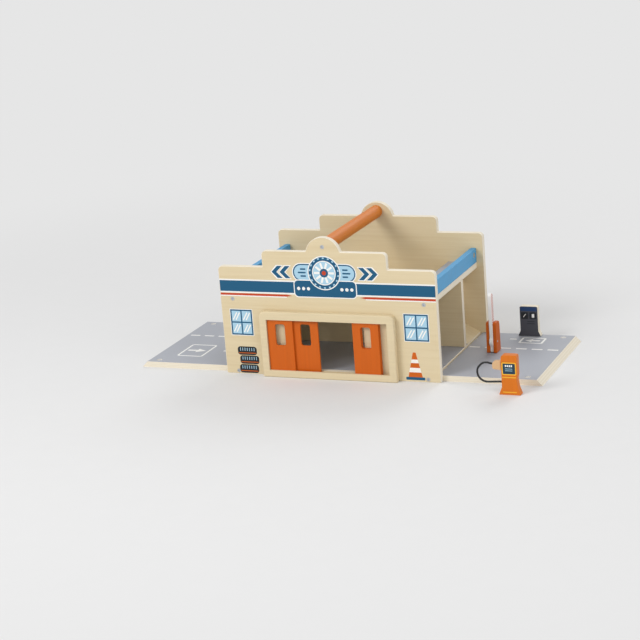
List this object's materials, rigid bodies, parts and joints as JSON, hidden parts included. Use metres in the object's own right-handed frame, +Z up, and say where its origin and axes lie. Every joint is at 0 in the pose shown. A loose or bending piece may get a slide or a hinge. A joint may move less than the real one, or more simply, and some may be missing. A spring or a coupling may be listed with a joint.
{
  "type": "toy garage",
  "caption": "Folding wooden toy garage with sliding doors, road flaps, ramp to a roof deck, wash brushes, barrier, ticket terminal and fuel pump.",
  "frame": {"origin": "middle of the underside of the floor board, on the ground", "axes": "+X along the facades towards the flap with the barrier, +Y from the doors to the back facade, +Z up"},
  "size_m": [0.6548, 0.281, 0.2195],
  "materials": {
    "birch_plywood": "clear matt lacquer, bare ply edges",
    "road_grey_paint": "smooth painted board",
    "light_blue_paint": "smooth painted board",
    "orange_lacquer": "satin coloured lacquer",
    "amber_lacquer": "satin coloured lacquer",
    "white_lacquer": "satin coloured lacquer",
    "slate_paint": "satin painted board",
    "white_felt": "pressed felt",
    "black_rubber": "smooth matt",
    "zinc_steel": "zinc plated",
    "nickel_magnet": "nickel plated"
  },
  "bodies": {
    "garage": {"front_facade": "birch_plywood", "back_facade": "birch_plywood", "floor_board": "road_grey_paint", "roof_deck": "road_grey_paint", "partition_wall": "birch_plywood", "ramp": "birch_plywood", "parapet_left": "light_blue_paint", "parapet_right": "light_blue_paint", "parapet_magnet_left_front": "nickel_magnet", "parapet_magnet_left_back": "nickel_magnet", "parapet_magnet_right_front": "nickel_magnet", "parapet_magnet_right_back": "nickel_magnet", "carry_handle": "orange_lacquer", "screw_front_handle": "zinc_steel", "screw_front_deck_left": "zinc_steel", "screw_front_deck_right": "zinc_steel", "screw_front_floor_left": "zinc_steel", "screw_front_floor_right": "zinc_steel", "screw_back_handle": "zinc_steel", "screw_back_deck_left": "zinc_steel", "screw_back_deck_right": "zinc_steel", "screw_back_floor_left": "zinc_steel", "screw_back_floor_right": "zinc_steel", "door_frame": "birch_plywood", "pivot_rod_left": "zinc_steel", "pivot_rod_right": "zinc_steel", "hinge_eye_left_front": "zinc_steel", "hinge_eye_left_back": "zinc_steel", "hinge_eye_right_front": "zinc_steel", "hinge_eye_right_back": "zinc_steel", "fuel_pump": "amber_lacquer", "pump_magnet": "nickel_magnet", "fuel_hose": "black_rubber", "hose_nozzle": "birch_plywood", "nozzle_magnet": "nickel_magnet"},
    "door_left_outer_panel": {"door_left_outer": "orange_lacquer"},
    "door_left_inner_panel": {"door_left_inner": "orange_lacquer"},
    "door_right_outer_panel": {"door_right_outer": "orange_lacquer"},
    "door_right_inner_panel": {"door_right_inner": "orange_lacquer"},
    "left_flap": {"road_flap_left": "road_grey_paint", "flap_magnet_left_front": "nickel_magnet", "flap_magnet_left_back": "nickel_magnet"},
    "right_flap": {"road_flap_right": "road_grey_paint", "flap_magnet_right_front": "nickel_magnet", "flap_magnet_right_back": "nickel_magnet", "barrier_stand": "orange_lacquer", "barrier_pin": "zinc_steel", "ticket_terminal": "slate_paint"},
    "barrier": {"barrier_arm": "white_lacquer"},
    "front_brush": {"wash_brush_front": "white_felt", "brush_spindle_front": "birch_plywood"},
    "back_brush": {"wash_brush_back": "white_felt", "brush_spindle_back": "birch_plywood"}
  },
  "joints": [
    {"name": "door_left_outer_slide", "type": "slide", "parent": "garage", "child": "door_left_outer_panel", "axis": [1, 0, 0], "range_m": [0, 0.054]},
    {"name": "door_left_inner_slide", "type": "slide", "parent": "garage", "child": "door_left_inner_panel", "axis": [1, 0, 0], "range_m": [-0.0398, 0.0138]},
    {"name": "door_right_outer_slide", "type": "slide", "parent": "garage", "child": "door_right_outer_panel", "axis": [1, 0, 0], "range_m": [-0.0395, 0.0138]},
    {"name": "door_right_inner_slide", "type": "slide", "parent": "garage", "child": "door_right_inner_panel", "axis": [1, 0, 0], "range_m": [-0.04, 0.013]},
    {"name": "left_flap_hinge", "type": "hinge", "parent": "garage", "child": "left_flap", "pos_m": [-0.1683, 0, 0.0045], "axis": [0, 1, 0], "range_deg": [0, 90]},
    {"name": "right_flap_hinge", "type": "hinge", "parent": "garage", "child": "right_flap", "pos_m": [0.1683, 0, 0.0045], "axis": [0, -1, 0], "range_deg": [0, 90]},
    {"name": "barrier_pivot", "type": "hinge", "parent": "right_flap", "child": "barrier", "pos_m": [0.2148, 0.0107, 0.027], "axis": [1, 0, 0], "range_deg": [0, 90]},
    {"name": "front_brush_spin", "type": "hinge", "parent": "garage", "child": "front_brush", "pos_m": [-0.128, -0.0855, 0.0622], "axis": [0, 0, 1], "continuous": true},
    {"name": "back_brush_spin", "type": "hinge", "parent": "garage", "child": "back_brush", "pos_m": [-0.128, 0.0026, 0.0622], "axis": [0, 0, 1], "continuous": true}
  ]
}
